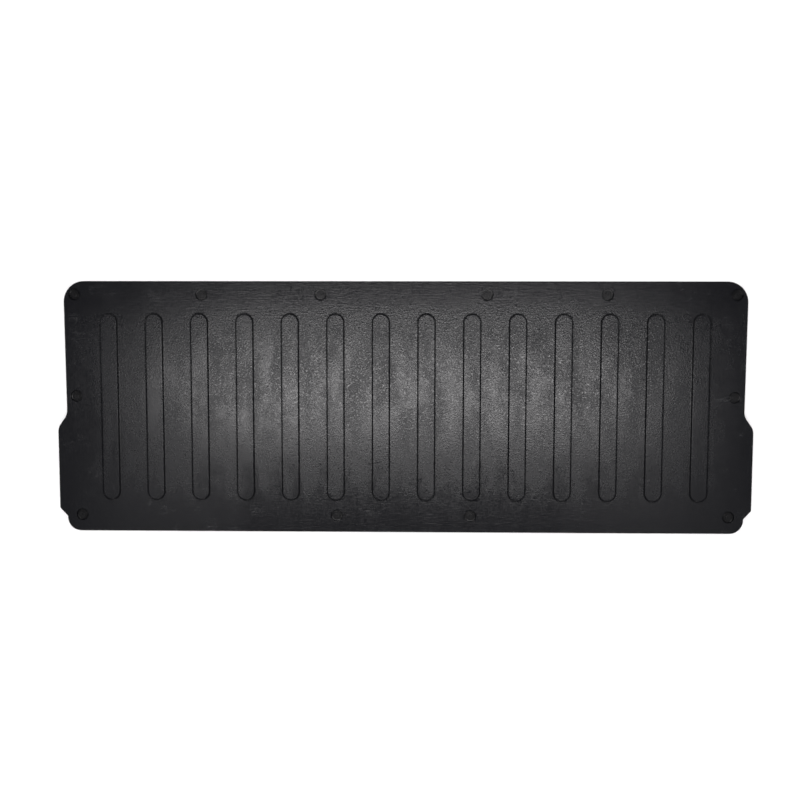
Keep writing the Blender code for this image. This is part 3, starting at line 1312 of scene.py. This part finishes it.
@dataclass
class FastenerSet:
    """The washers and screws, one pair in each seat.

    Attributes:
        washer: The washer that every seat shares.
        screw: The screw that every seat shares.
        turn_step: Angle between one screw's recess and the next one's, in radians.
    """

    washer: SeatWasher = field(default_factory=SeatWasher)
    screw: LowHeadScrew = field(default_factory=LowHeadScrew)
    turn_step: float = 2.4

    def build(self, groups: GroupLibrary) -> None:
        """Build both meshes once and put one of each on every CAD fastener.

        Args:
            groups: The shared shader groups.
        """
        washer_mesh = self.washer.mesh()
        washer_mesh.materials.clear()
        washer_mesh.materials.append(ZINC_FINISH.material(groups))
        screw_mesh = self.screw.mesh()
        screw_mesh.materials.clear()
        screw_mesh.materials.append(PHOSPHATE_FINISH.material(groups))
        for index, (washer_node, screw_node) in enumerate(self.pairs()):
            seat = Matrix.Translation(middle_of(washer_node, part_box(washer_node)[0].z))
            place("seat_" + washer_node, washer_mesh, washer_node, Slot.ZINC, seat)
            under_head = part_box(screw_node)[0].z + self.screw.length
            head = Matrix.Translation(middle_of(screw_node, under_head))
            turned_head = head @ Matrix.Rotation(self.turn_step * index, 4, "Z")
            place("driven_" + screw_node, screw_mesh, screw_node, Slot.PHOSPHATE, turned_head)
        LOG.info("fasteners: %d washers and screws", index + 1)

    @staticmethod
    def pairs() -> list[tuple[str, str]]:
        """The CAD nodes of each seat's washer and screw."""
        washers = sorted(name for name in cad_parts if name.startswith("washer_"))
        return [(name, name.replace("washer", "screw")) for name in washers]


def middle_of(node: str, z: float) -> Vector:
    """The middle of a CAD node's box in plan, at the given height."""
    low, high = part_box(node)
    return Vector(((low.x + high.x) / 2, (low.y + high.y) / 2, z))


# ---------------------------------------------------------------------------------------------
# Floor, light and camera


@dataclass(frozen=True)
class Softbox:
    """A rectangular lamp that looks at a point.

    Attributes:
        name: The lamp's name.
        at: Where it hangs.
        target: The point it faces.
        size: Its width and height.
        power: Its power, in watts.
        mirrored: Whether glossy surfaces show it; a lamp that only fills the room isn't mirrored.
        tint: Colour of its light.
    """

    name: str
    at: tuple[float, float, float]
    target: tuple[float, float, float]
    size: tuple[float, float]
    power: float
    mirrored: bool = True
    tint: Colour = (1.0, 0.98, 0.985)

    def build(self) -> bpy.types.Object:
        """Make the lamp.

        Returns:
            The lamp's object.
        """
        lamp = bpy.data.lights.new(self.name, "AREA")
        lamp.shape = "RECTANGLE"
        lamp.size, lamp.size_y = self.size
        lamp.energy = self.power
        lamp.color = self.tint
        holder = bpy.data.objects.new(self.name, lamp)
        bpy.context.scene.collection.objects.link(holder)
        holder.location = self.at
        aim = Vector(self.target) - Vector(self.at)
        holder.rotation_euler = aim.to_track_quat("-Z", "Y").to_euler()
        holder.visible_glossy = self.mirrored
        return holder


@dataclass
class Studio:
    """A pale floor, soft lamps, a dim surround and the camera above the mat.

    Attributes:
        floor_size: Width of the floor.
        camera_at: Where the camera hangs.
        camera_turn: Its rotation, in degrees about X, Y and Z.
        lens: Its focal length, in millimetres on a 36 mm sensor.
        surround: Brightness of the surround.
        surround_tint: Its colour.
        lamps: The lamps and the panels that fill the room.
    """

    floor_size: float = 14.0
    camera_at: tuple[float, float, float] = (0.0355, 0.1934, 2.2367)
    camera_turn: tuple[float, float, float] = (-4.496, 1.125, 0.089)
    lens: float = 45.0
    surround: float = 0.08
    surround_tint: Colour = (0.94, 0.96, 1.0)
    lamps: tuple[Softbox, ...] = (
        Softbox("Overhead softbox", (-0.02, -0.115, 2.5), (-0.02, -0.115, 0.0), (1.80, 0.38), 9.0),
        Softbox("Overhead spill", (-0.02, -0.115, 2.52), (-0.02, -0.115, 0.0), (2.5, 0.40), 12.0),
        Softbox("Left spill", (-1.20, -0.70, 2.5), (-1.20, -0.70, 0.0), (0.7, 0.6), 0.45),
        Softbox("Right spill", (1.15, -0.70, 2.5), (1.15, -0.70, 0.0), (0.7, 0.6), 0.45),
        Softbox("Left panel", (-4.2, 0.4, 1.7), (0.0, 0.0, 0.0), (1.6, 3.5), 190.0, False),
        Softbox("Right panel", (4.2, 0.4, 1.7), (0.0, 0.0, 0.0), (1.6, 3.5), 190.0, False),
        Softbox("Far panel", (0.0, 4.4, 1.7), (0.0, 0.0, 0.0), (3.5, 1.6), 190.0, False),
        Softbox("Near panel", (0.0, -4.4, 1.7), (0.0, 0.0, 0.0), (3.5, 1.6), 190.0, False),
    )

    def build_floor(self) -> None:
        """A plain pale floor just under the mat, through which the screws' shanks pass."""
        half = self.floor_size / 2
        corners = np.array([(-half, -half), (half, -half), (half, half), (-half, half)])
        builder = SurfaceBuilder()
        builder.faces.append(tuple(builder.ring(corners, -0.0002)))
        floor = bpy.data.objects.new("floor", builder.mesh("floor"))
        bpy.context.scene.collection.objects.link(floor)
        material, wiring, shader, own = start_material("Pale floor")
        shade = wiring.tint(wiring.noise(own, 3, 2), (0.86, 0.86, 0.86), (0.88, 0.88, 0.88))
        wiring.join(shade, shader.inputs["Base Color"])
        shader.inputs["Roughness"].default_value = 0.9
        shader.inputs["Specular IOR Level"].default_value = 0.1
        floor.data.materials.append(material)

    def build_surround(self) -> None:
        """A dim even surround."""
        world = bpy.data.worlds.new("Surround")
        world.use_nodes = True
        world.node_tree.nodes["Background"].inputs["Color"].default_value = (*self.surround_tint, 1)
        world.node_tree.nodes["Background"].inputs["Strength"].default_value = self.surround
        bpy.context.scene.world = world

    def build_camera(self) -> None:
        """The camera, nearly square above the mat."""
        camera = bpy.data.cameras.new("Camera")
        camera.lens = self.lens
        camera.sensor_width = 36.0
        holder = bpy.data.objects.new("Camera", camera)
        bpy.context.scene.collection.objects.link(holder)
        holder.location = self.camera_at
        holder.rotation_euler = [math.radians(angle) for angle in self.camera_turn]
        bpy.context.scene.camera = holder

    def build(self) -> None:
        """Set up the whole studio."""
        self.build_camera()
        self.build_surround()
        self.build_floor()
        for lamp in self.lamps:
            lamp.build()
        bpy.context.scene.view_settings.view_transform = "Standard"
        LOG.info("studio: %d lamps", len(self.lamps))


def seat_places() -> tuple[tuple[float, float], ...]:
    """The (x, y) of every seat, from where the CAD washers are."""
    names = sorted(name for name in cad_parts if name.startswith("washer_"))
    return tuple(tuple(middle_of(name, 0.0)[:2]) for name in names)


def main() -> None:
    """Build every piece in order."""
    logging.basicConfig(level=logging.INFO, format="%(message)s")
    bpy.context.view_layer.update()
    Studio().build()
    groups = GroupLibrary()
    RibbedMat(seats=seat_places()).build(groups)
    FastenerSet().build(groups)


if __name__ == "__main__":
    main()
